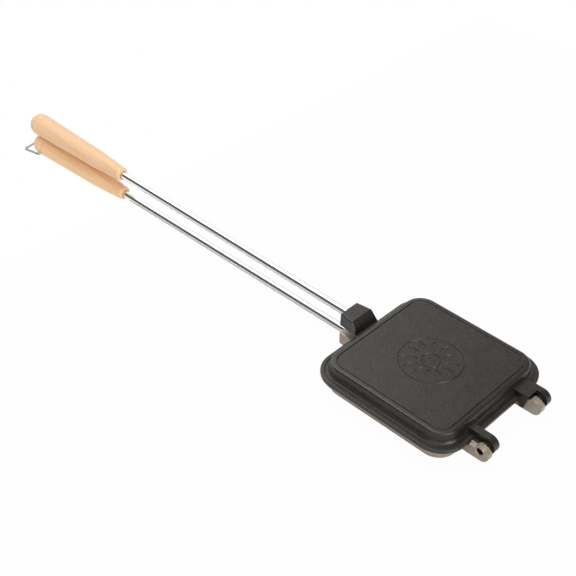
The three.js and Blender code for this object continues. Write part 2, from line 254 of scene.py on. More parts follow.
# Places that follow from the sizes above
WALL_TOP_HALF = WALL_FOOT_HALF - WALL_DRAFT
NEAR_KNUCKLE_END = NEAR_KNUCKLE_START + NEAR_KNUCKLE_WIDTH
NEAR_EAR_START = NEAR_KNUCKLE_END + EAR_GAP
NEAR_EAR_END = NEAR_EAR_START + NEAR_EAR_WIDTH
FAR_KNUCKLE_END = FAR_KNUCKLE_START + FAR_KNUCKLE_WIDTH
FAR_EAR_START = FAR_KNUCKLE_END + EAR_GAP
FAR_EAR_END = FAR_EAR_START + FAR_EAR_WIDTH
FAR_BORE_START = FAR_KNUCKLE_START + BLIND_WALL
NEAR_COLLAR_START = NEAR_KNUCKLE_END + COLLAR_GAP
FAR_COLLAR_START = FAR_KNUCKLE_END + COLLAR_GAP
CHEEK_START = FAR_KNUCKLE_START - CHEEK_SIDE_GAP - CHEEK_THICKNESS
ROOT_X = WALL_FOOT_HALF - ARM_ROOT
BAIL_HOLE_REACH = LOWER_ROD_SHOWN + GRIP_LENGTH * GRIP_GROOVE_SHARE
SPLAY = math.asin(
    (GRIP_RADIUS + GRIP_GAP / 2 - ROD_HEIGHT) / (UPPER_ROD_SHOWN + GRIP_LENGTH * GRIP_BULB_SHARE)
)


# Shapes
def rounded(outline, steps=FILLET_STEPS):
    """An open outline of (a, b, radius) with each inner corner turned into an arc."""
    points = [np.array(outline[0][:2], float)]
    for before, corner, after in zip(outline, outline[1:], outline[2:]):
        middle = np.array(corner[:2], float)
        arms = [np.array(other[:2], float) - middle for other in (before, after)]
        lengths = [np.linalg.norm(arm) for arm in arms]
        arms = [arm / length for arm, length in zip(arms, lengths)]
        turn = math.acos(max(-1.0, min(1.0, float(arms[0] @ arms[1]))))
        if corner[2] <= 0 or math.pi - turn < STRAIGHT_TURN:
            points.append(middle)
            continue
        reach = min(corner[2] / math.tan(turn / 2), ARC_SHARE * min(lengths))
        radius = reach * math.tan(turn / 2)
        bisector = arms[0] + arms[1]
        centre = middle + bisector / np.linalg.norm(bisector) * math.hypot(reach, radius)
        start, end = (middle + arm * reach - centre for arm in arms)
        sweep = math.pi - turn
        for step in range(steps + 1):
            share = step / steps
            ahead = math.sin((1 - share) * sweep) * start + math.sin(share * sweep) * end
            points.append(centre + ahead / math.sin(sweep))
    points.append(np.array(outline[-1][:2], float))
    return points


def arc(centre, radius, start, end, steps):
    return [
        (centre[0] + radius * math.cos(angle), centre[1] + radius * math.sin(angle))
        for angle in np.linspace(start, end, steps + 1)
    ]


def new_object(name, points, faces):
    mesh = bpy.data.meshes.new(name)
    mesh.from_pydata([tuple(map(float, point)) for point in points], [], faces)
    piece = bpy.data.objects.new(name, mesh)
    bpy.context.scene.collection.objects.link(piece)
    body = bmesh.new()
    body.from_mesh(mesh)
    bmesh.ops.recalc_face_normals(body, faces=body.faces)
    body.to_mesh(mesh)
    body.free()
    return piece


def loft(name, rings, closed=False):
    """A solid through rings of as many points each, with flat ends or closed on itself."""
    count = len(rings[0])
    points = [point for ring in rings for point in ring]
    faces = []
    for level in range(len(rings) if closed else len(rings) - 1):
        above = (level + 1) % len(rings)
        for i in range(count):
            j = (i + 1) % count
            faces.append(
                (level * count + i, level * count + j, above * count + j, above * count + i)
            )
    if not closed:
        faces.append(tuple(range(count)))
        faces.append(tuple((len(rings) - 1) * count + i for i in range(count)))
    return new_object(name, points, faces)


def lathe(name, profile, sides=ROUND_SIDES):
    """A profile of (distance along, radius) turned about the X axis."""
    turns = [2 * math.pi * i / sides for i in range(sides)]
    rings = [
        [(along, radius * math.cos(turn), radius * math.sin(turn)) for turn in turns]
        for along, radius in profile
    ]
    return loft(name, rings)


def plate(name, outline, low, high):
    """An outline in X and Z, as thick as the span along Y."""
    rings = [[(x, y, z) for x, z in outline] for y in (low, high)]
    return loft(name, rings)


def moved(piece, matrix):
    piece.data.transform(matrix)
    if matrix.determinant() < 0:
        piece.data.flip_normals()
    return piece


def applied(piece):
    """Turns the piece's modifiers into its mesh."""
    graph = bpy.context.evaluated_depsgraph_get()
    graph.update()
    mesh = bpy.data.meshes.new_from_object(piece.evaluated_get(graph))
    old = piece.data
    piece.modifiers.clear()
    piece.data = mesh
    bpy.data.meshes.remove(old)
    return piece


def bevelled(piece, width):
    """The piece with its sharp edges bevelled."""
    bevel = piece.modifiers.new("bevel", "BEVEL")
    bevel.width = width
    bevel.segments = BEVEL_SEGMENTS
    bevel.limit_method = "ANGLE"
    bevel.angle_limit = BEVEL_TURN
    bevel.harden_normals = False
    return applied(piece)


def combined(piece, operation, others):
    """The piece joined with or cut by the others, which are used up."""
    for other in others:
        boolean = piece.modifiers.new("boolean", "BOOLEAN")
        boolean.operation = operation
        boolean.solver = "EXACT"
        boolean.object = other
        applied(piece)
        bpy.data.objects.remove(other)
    return piece


# Pans
def square_ring(half, height):
    """A level square with round corners, whose arcs have the same centres at every size."""
    radius = half - CORNER_CENTRE
    ring = []
    for corner in range(4):
        start = corner * math.pi / 2
        centre = Matrix.Rotation(start, 2) @ Vector((CORNER_CENTRE, CORNER_CENTRE))
        for x, y in arc(centre, radius, start, start + math.pi / 2, CORNER_STEPS):
            ring.append((x, y, height))
    return ring


def shell_outline(flange_half, line_half, edge_round):
    """Half a section of the pan, from the hollow's floor round the rim to the panel."""
    parting = PARTING_GAP / 2
    floor = HALF_DEPTH - PANEL_THICKNESS
    line_outer = line_half + FLANGE_LINE_WIDTH / 2
    line_inner = line_half - FLANGE_LINE_WIDTH / 2
    line_bottom = FLANGE_HEIGHT - FLANGE_LINE_DEPTH
    groove_outer = GROOVE_HALF + GROOVE_WIDTH / 2
    groove_inner = GROOVE_HALF - GROOVE_WIDTH / 2
    groove_bottom = HALF_DEPTH - GROOVE_DEPTH
    floor_half = CAVITY_HALF - CAVITY_DRAFT
    return rounded([
        (floor_half - 2 * CAVITY_FLOOR_ROUND, floor, 0),
        (floor_half, floor, CAVITY_FLOOR_ROUND),
        (CAVITY_HALF, parting, RIM_ROUND),
        (flange_half, parting, RIM_ROUND),
        (flange_half, FLANGE_HEIGHT, FLANGE_ROUND),
        (line_outer, FLANGE_HEIGHT, LIP_ROUND),
        (line_outer - LIP_ROUND, line_bottom, LIP_ROUND),
        (line_inner + LIP_ROUND, line_bottom, LIP_ROUND),
        (line_inner, FLANGE_HEIGHT, LIP_ROUND),
        (WALL_FOOT_HALF, FLANGE_HEIGHT, FLARE_ROUND / 2),
        (WALL_FOOT_HALF - WALL_FLARE, FLANGE_HEIGHT + FLARE_HEIGHT, FLARE_ROUND),
        (WALL_TOP_HALF, HALF_DEPTH - PANEL_CROWN, edge_round),
        (groove_outer, HALF_DEPTH, LIP_ROUND),
        (groove_outer - LIP_ROUND, groove_bottom, LIP_ROUND),
        (groove_inner + LIP_ROUND, groove_bottom, LIP_ROUND),
        (groove_inner, HALF_DEPTH, LIP_ROUND),
        (groove_inner - 2 * GROOVE_WIDTH, HALF_DEPTH, 0),
    ])


def pan_shell(name, flange_half, line_half, edge_round):
    outline = shell_outline(flange_half, line_half, edge_round)
    return loft(name, [square_ring(half, height) for half, height in outline])


def pan_void():
    """The space of the hollow, to clear what the boss and the arms bring into it."""
    floor = HALF_DEPTH - PANEL_THICKNESS
    outline = rounded([
        (CAVITY_HALF - CAVITY_DRAFT - 2 * CAVITY_FLOOR_ROUND, floor, 0),
        (CAVITY_HALF - CAVITY_DRAFT, floor, CAVITY_FLOOR_ROUND),
        (CAVITY_HALF, PARTING_GAP / 2, 0),
        (CAVITY_HALF, -OVERRUN, 0),
    ])
    return loft("void", [square_ring(half, height) for half, height in outline])


def boss_ring(x, half_top, bottom, top):
    """One section of the boss square to X, with round corners."""
    half_bottom = half_top + BOSS_DRAFT
    side = [
        (0, bottom, 0),
        (half_bottom, bottom, BOSS_EDGE_ROUND),
        (half_top, top, BOSS_EDGE_ROUND),
        (0, top, 0),
    ]
    right = rounded(side)[1:-1]
    return [(x, y, z) for y, z in right] + [(x, -y, z) for y, z in reversed(right)]


def boss(name):
    """The block that holds the rod, from its flat face down a slope to its foot in the wall."""
    top = ROD_HEIGHT + BOSS_ABOVE_ROD
    bottom = ROD_HEIGHT - BOSS_BELOW_ROD
    face = -BOSS_FACE
    neck = face + BOSS_TOP
    foot = neck + BOSS_SLOPE
    foot_bottom = FLANGE_HEIGHT - BOSS_EDGE_ROUND
    lines = [
        rounded([
            (face, BOSS_FACE_HALF, 0),
            (neck, BOSS_NECK_HALF, BOSS_SIDE_NECK_ROUND),
            (foot, BOSS_FOOT_HALF, BOSS_SIDE_FOOT_ROUND),
            (-ROOT_X, BOSS_FOOT_HALF, 0),
        ]),
        rounded([
            (face, bottom, 0),
            (neck, bottom, BOSS_BELLY_ROUND),
            (foot, foot_bottom, BOSS_BELLY_ROUND),
            (-ROOT_X, foot_bottom, 0),
        ]),
        rounded([
            (face, top, 0),
            (neck, top, BOSS_TOP_NECK_ROUND),
            (foot, BOSS_FOOT_HEIGHT, BOSS_TOP_FOOT_ROUND),
            (-ROOT_X, BOSS_FOOT_HEIGHT, 0),
        ]),
    ]
    stations = sorted({float(round(x, 4)) for line in lines for x, _ in line})
    stations = [x for x in stations if x > face + BOSS_FACE_ROUND]
    rings = []
    for step in range(FILLET_STEPS + 1):
        angle = step / FILLET_STEPS * math.pi / 2
        inset = BOSS_FACE_ROUND * (1 - math.sin(angle))
        x = face + BOSS_FACE_ROUND * (1 - math.cos(angle))
        rings.append(boss_ring(x, BOSS_FACE_HALF - inset, bottom + inset, top - inset))
    for x in stations:
        half, low, high = (
            float(np.interp(x, [p[0] for p in line], [p[1] for p in line])) for line in lines
        )
        rings.append(boss_ring(x, half, low, high))
    return loft(name, rings)


def handle_matrix():
    """The handle's own frame: it starts on the boss's face and runs along -X, outwards."""
    turn = Matrix.Rotation(SPLAY, 4, "Y")
    return Matrix.Translation((-BOSS_FACE, 0, ROD_HEIGHT)) @ turn @ Matrix.Scale(-1, 4, (1, 0, 0))


def rod_bore():
    radius = ROD_RADIUS + ROD_CLEARANCE
    profile = [
        (-ROD_SEAT - ROD_CLEARANCE, radius),
        (-BORE_LIP, radius),
        (0, radius + BORE_LIP),
        (OVERRUN, radius + BORE_LIP),
    ]
    return moved(lathe("bore", profile), handle_matrix())


def ear_outline():
    """An arm from the upper pan's wall with a round end about the pin, its flat side up."""
    bottom = PARTING_GAP / 2
    end = arc((PIN_X, 0), EAR_RADIUS, math.pi, 2.5 * math.pi, ROUND_SIDES // 2)
    return [(ROOT_X, bottom), (PIN_X - EAR_RADIUS, bottom)] + end + [(ROOT_X, EAR_RADIUS)]


def knuckle_outline():
    """An arm from the lower pan's wall: a hub with cast ridges, a stop face and a round end."""
    start = math.pi - math.asin(KNUCKLE_ARM_DROP / HUB_RADIUS)
    back = arc((PIN_X, 0), HUB_RADIUS, start, HUB_BACK_TURN - HUB_BLEND_TURN, FILLET_STEPS * 4)
    knee = (PIN_X + KNEE_REACH, KNEE_DROP)
    end = arc(knee, KNEE_RADIUS, KNEE_START_TURN, math.pi / 2, ROUND_SIDES // 3)
    ridges = []
    for i, turn in enumerate(np.linspace(HUB_BACK_TURN, HUB_END_TURN, 2 * HUB_RIDGE_COUNT - 1)):
        reach = HUB_RADIUS + (HUB_RIDGE if i % 2 == 0 else -HUB_VALLEY)
        ridges.append((PIN_X + reach * math.cos(turn), reach * math.sin(turn), HUB_RIDGE_ROUND))
    top = rounded([(*back[-1], 0), *ridges, (*end[0], 0)])
    return (
        [(ROOT_X, KNUCKLE_ARM_DROP)] + back + [tuple(point) for point in top[1:-1]] + end
        + [(ROOT_X, KNEE_DROP + KNEE_RADIUS)]
    )


def notched_outline():
    """The part of the far arm that runs up to the knuckle and is hollowed to clear it."""
    reach = EAR_RADIUS + NOTCH_CLEARANCE
    top_angle = math.pi - math.asin(EAR_RADIUS / reach)
    low_angle = math.pi - math.asin(PARTING_GAP / 2 / reach)
    hollow = arc((PIN_X, 0), reach, low_angle, top_angle, FILLET_STEPS * 3)
    return [(ROOT_X, PARTING_GAP / 2)] + hollow + [(ROOT_X, EAR_RADIUS)]


def collar_outline():
    """A thinner shoulder of the arm between an ear and its knuckle, round about the pin."""
    low_angle = math.pi - math.asin(PARTING_GAP / 2 / COLLAR_RADIUS)
    rise_angle = math.asin(COLLAR_RISE / COLLAR_RADIUS)
    end = arc((PIN_X, 0), COLLAR_RADIUS, low_angle, 3 * math.pi - rise_angle, ROUND_SIDES // 2)
    return [(ROOT_X, PARTING_GAP / 2)] + end + [(ROOT_X, COLLAR_RISE)]


def web_outline():
    """A web below the shoulder, so that no light comes through beside the knuckle."""
    left = LOWER_FLANGE_HALF + LUG_CLEARANCE
    right = PIN_X - COLLAR_RADIUS / 2
    top = COLLAR_RISE / 2
    return [(left, -WEB_DEPTH), (right, -WEB_DEPTH), (right, top), (left, top)]


def cheek_outline():
    """The cheek hangs past the parting plane, and its back is round so that it swings clear."""
    reach = EAR_RADIUS + NOTCH_CLEARANCE
    swing = PIN_X - LOWER_FLANGE_HALF - CHEEK_CLEARANCE
    top_right = PIN_X - math.sqrt(reach * reach - EAR_RADIUS * EAR_RADIUS)
    foot_turn = math.pi + math.asin(CHEEK_DEPTH / swing)
    back = arc((PIN_X, 0), swing, math.pi, foot_turn, FILLET_STEPS * 2)
    return (
        [(top_right, EAR_RADIUS), (PIN_X - swing, EAR_RADIUS)] + back
        + [(PIN_X - CHEEK_FOOT_END, -CHEEK_DEPTH)]
    )


def upper_arms():
    """The ears and what stands beside the knuckles, each with its span along Y and its bevel."""
    ear = ear_outline()
    collar = collar_outline()
    arms = [
        ("near_arm", ear, NEAR_EAR_START, NEAR_EAR_END, EAR_BEVEL),
        ("far_arm", ear, FAR_EAR_START, FAR_EAR_END, EAR_BEVEL),
        ("notched_arm", notched_outline(), CHEEK_START, FAR_EAR_END - OVERRUN, ARM_BEVEL),
        ("cheek", cheek_outline(), CHEEK_START, CHEEK_START + CHEEK_THICKNESS, ARM_BEVEL),
        ("near_collar", collar, NEAR_COLLAR_START, NEAR_EAR_END - OVERRUN, ARM_BEVEL),
        ("far_collar", collar, FAR_COLLAR_START, FAR_EAR_END - OVERRUN, ARM_BEVEL),
        ("far_web", web_outline(), FAR_COLLAR_START, FAR_EAR_START + OVERRUN, ARM_BEVEL),
    ]
    return [
        bevelled(plate(name, outline, low, high), bevel) for name, outline, low, high, bevel in arms
    ]


def lower_arms():
    """The lower pan is turned over afterwards, so its spans along Y change sign here."""
    lug_left = UPPER_FLANGE_HALF + LUG_CLEARANCE
    lug_outline = [
        (lug_left, -LUG_HEIGHT),
        (lug_left + LUG_LENGTH, -LUG_HEIGHT),
        (lug_left + LUG_LENGTH, KNUCKLE_ARM_DROP + OVERRUN),
        (lug_left, KNUCKLE_ARM_DROP + OVERRUN),
    ]
    knuckle = knuckle_outline()
    arms = [
        plate("near_knuckle", knuckle, -NEAR_KNUCKLE_END, -NEAR_KNUCKLE_START),
        plate("far_knuckle", knuckle, -FAR_KNUCKLE_END, -FAR_KNUCKLE_START),
        plate("lug", lug_outline, -NEAR_KNUCKLE_END, -NEAR_KNUCKLE_START),
    ]
    return [bevelled(arm, ARM_BEVEL) for arm in arms] + [bore_rim()]


def bore_rim():
    """A low round rim about the near knuckle's hole."""
    turns = [2 * math.pi * i / ROUND_SIDES for i in range(ROUND_SIDES)]
    centre = (BORE_RIM_RADIUS, -NEAR_KNUCKLE_START)
    section = arc(centre, BORE_RIM_ROUND, 0, 2 * math.pi, RIM_SIDES)[:-1]
    rings = [
        [(PIN_X + r * math.cos(turn), y, r * math.sin(turn)) for r, y in section] for turn in turns
    ]
    return loft("bore_rim", rings, closed=True)


def pin_matrix():
    """The frame of the hinge: a lathe's axis turned along Y and set on the pin's axis."""
    return Matrix.Translation((PIN_X, 0, 0)) @ Matrix.Rotation(math.pi / 2, 4, "Z")


def pin_bore(low, high, blind=False):
    """A bore along Y with a small countersink at each open end."""
    radius = PIN_RADIUS + PIN_CLEARANCE
    profile = [
        (low - OVERRUN, radius + BORE_LIP + OVERRUN),
        (low + BORE_LIP, radius),
        (high - BORE_LIP, radius),
        (high + OVERRUN, radius + BORE_LIP + OVERRUN),
    ]
    if blind:
        profile[2:] = [(high, radius)]
    return moved(lathe("pin_bore", profile), pin_matrix())


def ring_cut(radius):
    """A round line with sloping flanks."""
    half = ROSETTE_LINE / 2
    turns = [2 * math.pi * i / (2 * ROUND_SIDES) for i in range(2 * ROUND_SIDES)]
    section = [
        (radius - half + CUT_FLANK, HALF_DEPTH - ROSETTE_DEPTH),
        (radius + half - CUT_FLANK, HALF_DEPTH - ROSETTE_DEPTH),
        (radius + half, HALF_DEPTH),
        (radius + half + CUT_FLANK, HALF_DEPTH + OVERRUN),
        (radius - half - CUT_FLANK, HALF_DEPTH + OVERRUN),
        (radius - half, HALF_DEPTH),
    ]
    rings = [[(r * math.cos(turn), r * math.sin(turn), z) for r, z in section] for turn in turns]
    return loft("ring_cut", rings, closed=True)


def leaf_cut(turn):
    """A pointed leaf whose flanks slope to a smaller floor."""
    start = ROSETTE_HUB + LEAF_GAP
    end = ROSETTE_RADIUS - LEAF_GAP
    middle = (start + end) / 2
    shares = np.linspace(-1, 1, LEAF_STEPS + 1)
    rings = []
    for height, inset in (
        (HALF_DEPTH - ROSETTE_DEPTH, CUT_FLANK),
        (HALF_DEPTH, 0),
        (HALF_DEPTH + OVERRUN, -CUT_FLANK),
    ):
        half_length = (end - start) / 2 - 2 * inset
        half_width = LEAF_HALF - inset
        side = [(middle + half_length * s, half_width * (1 - s * s)) for s in shares]
        ring = side + [(x, -y) for x, y in reversed(side[1:-1])]
        rings.append([(x, y, height) for x, y in ring])
    return moved(loft("leaf_cut", rings), Matrix.Rotation(turn, 4, "Z"))


def paint_bore_shade(pan):
    """Gives the walls and the ends of the pin bores the second, dark material: painted shade in the
    holes.
    """
    points = [vertex.co for vertex in pan.data.vertices]
    for face in pan.data.polygons:
        reach = max(math.hypot(points[i].x - PIN_X, points[i].z) for i in face.vertices)
        if reach < PIN_RADIUS + PIN_CLEARANCE + BORE_LIP + BORE_MARGIN:
            face.material_index = 1


def mark_hollow(pan):
    """Gives the faces of the hollow the second material."""
    floor = HALF_DEPTH - PANEL_THICKNESS
    for face in pan.data.polygons:
        beyond = [max(abs(value) - CORNER_CENTRE, 0) for value in face.center[:2]]
        inner = CORNER_CENTRE + math.hypot(*beyond) < CAVITY_HALF + RIM_ROUND
        face.material_index = int(inner and face.center.z < floor + FLOOR_MARGIN)


def upper_casting():
    pan = pan_shell("upper_casting", UPPER_FLANGE_HALF, FLANGE_LINE_HALF, PANEL_EDGE_ROUND)
    combined(pan, "UNION", [boss("boss"), *upper_arms()])
    combined(pan, "DIFFERENCE", [
        pan_void(),
        rod_bore(),
        pin_bore(NEAR_COLLAR_START, NEAR_EAR_END),
        pin_bore(FAR_COLLAR_START, FAR_EAR_END),
        ring_cut(ROSETTE_RADIUS),
        ring_cut(ROSETTE_HUB),
    ])
    leaves = [leaf_cut(2 * math.pi * i / LEAF_COUNT) for i in range(LEAF_COUNT)]
    combined(pan, "DIFFERENCE", leaves)
    mark_hollow(pan)
    return moved(pan, UPPER_PLACE)


def lower_casting():
    line_half = LOWER_FLANGE_HALF - LOWER_LINE_INSET
    pan = pan_shell("lower_casting", LOWER_FLANGE_HALF, line_half, UNDERSIDE_EDGE_ROUND)
    combined(pan, "UNION", [boss("boss"), *lower_arms()])
    combined(pan, "DIFFERENCE", [
        pan_void(),
        rod_bore(),
        pin_bore(-NEAR_KNUCKLE_END, -NEAR_KNUCKLE_START),
        pin_bore(-FAR_KNUCKLE_END, -FAR_BORE_START, blind=True),
    ])
    mark_hollow(pan)
    paint_bore_shade(pan)
    return moved(pan, LOWER_PLACE)


UPPER_PLACE = Matrix.Translation((0, 0, HALF_DEPTH))
LOWER_PLACE = UPPER_PLACE @ Matrix.Rotation(math.pi, 4, "X")


# Handles
def handle_rod(name, shown, place):
    end = shown + ROD_IN_GRIP
    profile = [
        (-ROD_SEAT, ROD_RADIUS - ROD_CHAMFER),
        (-ROD_SEAT + ROD_CHAMFER, ROD_RADIUS),
        (end - ROD_CHAMFER, ROD_RADIUS),
        (end, ROD_RADIUS - ROD_CHAMFER),
    ]
    return moved(lathe(name, profile), place @ handle_matrix())


def upper_rod():
    return handle_rod("upper_handle_rod", UPPER_ROD_SHOWN, UPPER_PLACE)


def lower_rod():
    return handle_rod("lower_handle_rod", LOWER_ROD_SHOWN, LOWER_PLACE)


def smooth_line(points, steps):
    """A uniform Catmull-Rom line through the points."""
    points = [np.array(point, float) for point in points]
    padded = [points[0], *points, points[-1]]
    line = []
    for a, b, c, d in zip(padded, padded[1:], padded[2:], padded[3:]):
        for step in range(steps):
            t = step / steps
            slope_in, slope_out = (c - a) / 2, (d - b) / 2
            line.append(
                (2 * t**3 - 3 * t**2 + 1) * b + (t**3 - 2 * t**2 + t) * slope_in
                + (3 * t**2 - 2 * t**3) * c + (t**3 - t**2) * slope_out
            )
    line.append(points[-1])
    return line


def grip_profile(shown):
    bore = ROD_RADIUS + ROD_CLEARANCE
    flank = smooth_line(
        [(share * GRIP_LENGTH, radius * GRIP_RADIUS) for share, radius in GRIP_OUTLINE_SHARES],
        GRIP_STEPS,
    )
    profile = [
        (ROD_IN_GRIP + ROD_CLEARANCE, AXIS_RADIUS),
        (ROD_IN_GRIP + ROD_CLEARANCE, bore),
        (BORE_LIP, bore),
        (0, bore + BORE_LIP),
        (0, GRIP_FACE_RADIUS),
        *flank,
        (GRIP_LENGTH, AXIS_RADIUS),
    ]
    return [(shown + along, radius) for along, radius in profile]


def upper_grip():
    grip = lathe("upper_grip_wood", grip_profile(UPPER_ROD_SHOWN))
    return moved(grip, UPPER_PLACE @ handle_matrix())


def bail_matrix():
    """The frame of the cross hole in the handle's frame, rolled about the handle's axis."""
    place = Matrix.Translation((BAIL_HOLE_REACH, 0, BAIL_HOLE_DROP))
    return Matrix.Rotation(BAIL_ROLL, 4, "X") @ place


def lower_grip():
    grip = lathe("lower_grip_wood", grip_profile(LOWER_ROD_SHOWN))
    radius = WIRE_RADIUS + WIRE_CLEARANCE
    reach = GRIP_RADIUS + OVERRUN
    hole = lathe("hole", [(-reach, radius), (reach, radius)], WIRE_SIDES)
    moved(hole, bail_matrix() @ Matrix.Rotation(math.pi / 2, 4, "Z"))
    combined(grip, "DIFFERENCE", [hole])
    return moved(grip, LOWER_PLACE @ handle_matrix())


def tube(name, path, radius, sides):
    """A round wire along a path that lies in one level plane."""
    path = [Vector((x, y, 0)) for x, y in path]
    rings = []
    for i, point in enumerate(path):
        ahead = (path[min(i + 1, len(path) - 1)] - path[max(i - 1, 0)]).normalized()
        across = Vector((-ahead.y, ahead.x, 0))
        rings.append([
            point + across * radius * math.cos(turn) + Vector((0, 0, radius * math.sin(turn)))
            for turn in (2 * math.pi * k / sides for k in range(sides))
        ])
    return loft(name, rings)


def bail():
    """The loop behind the lower grip, its two ends turned into the cross hole."""
    inner_height = BAIL_HOLE_DROP - WIRE_RADIUS
    side = math.sqrt(GRIP_RADIUS**2 - inner_height**2) + BAIL_SIDE_CLEARANCE + WIRE_RADIUS
    back = GRIP_LENGTH * (1 - GRIP_GROOVE_SHARE) + BAIL_TAIL
    path = rounded([
        (0, BAIL_END_DEPTH, 0),
        (0, side, BAIL_BEND),
        (back, side + BAIL_FLARE, BAIL_BEND),
        (back, -side - BAIL_FLARE, BAIL_BEND),
        (0, -side, BAIL_BEND),
        (0, -BAIL_END_DEPTH, 0),
    ], BEND_STEPS)
    wire = tube("bail_wire", path, WIRE_RADIUS, WIRE_SIDES)
    droop = Matrix.Rotation(-BAIL_DROOP, 4, "Y")
    return moved(wire, LOWER_PLACE @ handle_matrix() @ bail_matrix() @ droop)


def hinge_pin(name, low, high):
    """A round pin whose ends are turned down to a small tip."""
    end = rounded([
        (0, 0, 0),
        (0, PIN_TIP_RADIUS, PIN_TIP_ROUND),
        (PIN_TIP_LENGTH, PIN_RADIUS, PIN_SHOULDER_ROUND),
        (PIN_END_LENGTH, PIN_RADIUS, 0),
    ])[:-1]
    profile = [(low + depth, max(radius, AXIS_RADIUS)) for depth, radius in end]
    profile += [(high - depth, max(radius, AXIS_RADIUS)) for depth, radius in reversed(end)]
    return moved(lathe(name, profile), UPPER_PLACE @ pin_matrix())


def near_pin():
    return hinge_pin("near_pin", NEAR_KNUCKLE_START + PIN_RECESS, NEAR_EAR_END - PIN_RECESS)


def far_pin():
    return hinge_pin("far_pin", FAR_BORE_START + PIN_CLEARANCE, FAR_EAR_END - PIN_RECESS)


# Finishing
def finished(piece, body, node, slot_name, *materials):
    """Scales the piece to metres, smooths it and hangs it on its body in place of the CAD node."""
    piece.data.transform(Matrix.Scale(MM, 4))
    body_mesh = bmesh.new()
    body_mesh.from_mesh(piece.data)
    bmesh.ops.remove_doubles(body_mesh, verts=body_mesh.verts, dist=MERGE_DISTANCE)
    for face in body_mesh.faces:
        face.smooth = True
    for edge in body_mesh.edges:
        edge.smooth = edge.is_manifold and edge.calc_face_angle(0) < SHARP_TURN
    body_mesh.to_mesh(piece.data)
    body_mesh.free()
    for made in materials:
        piece.data.materials.append(made)
    weighted = piece.modifiers.new("weighted", "WEIGHTED_NORMAL")
    weighted.keep_sharp = True
    weighted.weight = NORMAL_WEIGHT
    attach(piece, body)
    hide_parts(node)
    return piece


# Materials
class Graph:
    """A material's node tree, with short calls to add and join nodes."""

    def __init__(self, owner):
        owner.use_nodes = True
        self.tree = owner.node_tree
        self.tree.nodes.clear()

    def add(self, kind, inputs=None, **settings):
        node = self.tree.nodes.new(kind)
        for name, value in settings.items():
            setattr(node, name, value)
        for name, value in (inputs or {}).items():
            if isinstance(value, bpy.types.NodeSocket):
                self.tree.links.new(value, node.inputs[name])
            else:
                node.inputs[name].default_value = value
        return node

    def noise(self, vector, size, detail=2.0, roughness=0.5, distortion=0.0):
        """Noise whose features are about size metres across."""
        return self.add("ShaderNodeTexNoise", {
            "Vector": vector, "Scale": 1 / size, "Detail": detail,
            "Roughness": roughness, "Distortion": distortion,
        }).outputs["Fac"]

    def ramp(self, factor, low, high, start=0.0, end=1.0):
        """factor from low to high becomes start to end, held outside."""
        return self.add("ShaderNodeMapRange", {
            "Value": factor, "From Min": low, "From Max": high, "To Min": start, "To Max": end,
        }).outputs["Result"]

    def mapped(self, vector, **settings):
        return self.add("ShaderNodeMapping", {"Vector": vector, **settings}).outputs["Vector"]

    def math(self, operation, a, b=0.0):
        node = self.add("ShaderNodeMath", {0: a, 1: b}, operation=operation)
        return node.outputs["Value"]

    def mix(self, factor, a, b):
        """Colour a turned into colour b; a mix node has its colours at inputs 6 and 7, output 2."""
        node = self.add("ShaderNodeMix", data_type="RGBA")
        for socket, value in ((node.inputs[0], factor), (node.inputs[6], a), (node.inputs[7], b)):
            if isinstance(value, bpy.types.NodeSocket):
                self.tree.links.new(value, socket)
            elif socket.type == "RGBA":
                socket.default_value = (*value, 1.0)
            else:
                socket.default_value = value
        return node.outputs[2]

    def bump(self, height, distance, strength=1.0, normal=None):
        inputs = {"Height": height, "Distance": distance, "Strength": strength}
        if normal is not None:
            inputs["Normal"] = normal
        return self.add("ShaderNodeBump", inputs).outputs["Normal"]

    def seen(self):
        """1 for what the camera sees, also through clear pieces, and 0 for all other light."""
        path = self.add("ShaderNodeLightPath").outputs
        return self.math("MAXIMUM", path["Is Camera Ray"], path["Is Transmission Ray"])

    def surface(self, shader):
        output = self.add("ShaderNodeOutputMaterial")
        self.tree.links.new(shader, output.inputs["Surface"])

    def principled(self, inputs):
        shader = self.add("ShaderNodeBsdfPrincipled", inputs)
        self.surface(shader.outputs["BSDF"])


def new_material(name):
    made = bpy.data.materials.new(name)
    return made, Graph(made)


def object_place(graph):
    return graph.add("ShaderNodeTexCoord").outputs["Object"]


def scaled(colour, share):
    return [value * share for value in colour]


# The range in which most of a noise lies, and a wider one
NOISE_MIDDLE = (0.35, 0.65)
NOISE_WIDE = (0.3, 0.7)

# Coating, with the sizes of its features and the depths of its bumps in metres
CLOUD_SIZE = 0.018
GRAIN_SIZE = 0.0006
PEEL_SIZE = 0.0022
PEEL_DEPTH = 0.0001
GRAIN_DEPTH = 0.00014
# Painted glints: where the grain noise is high, the base colour turns much paler, standing in for
# sparkle
PAINTED_GLINT_BRIGHTNESS = 5.0
PAINTED_GLINT_EDGE = (0.56, 0.68)
PAINTED_GLINT_SHARE = 0.6
CLOUD_SHEEN = 0.04
GRAIN_SHEEN = 0.05
COAT_WEIGHT = 0.75
COAT_ROUGHNESS = 0.13
COATING_SPECULAR = 0.25
SPECULAR_WARMTH = (1.0, 0.94, 0.87, 1.0)


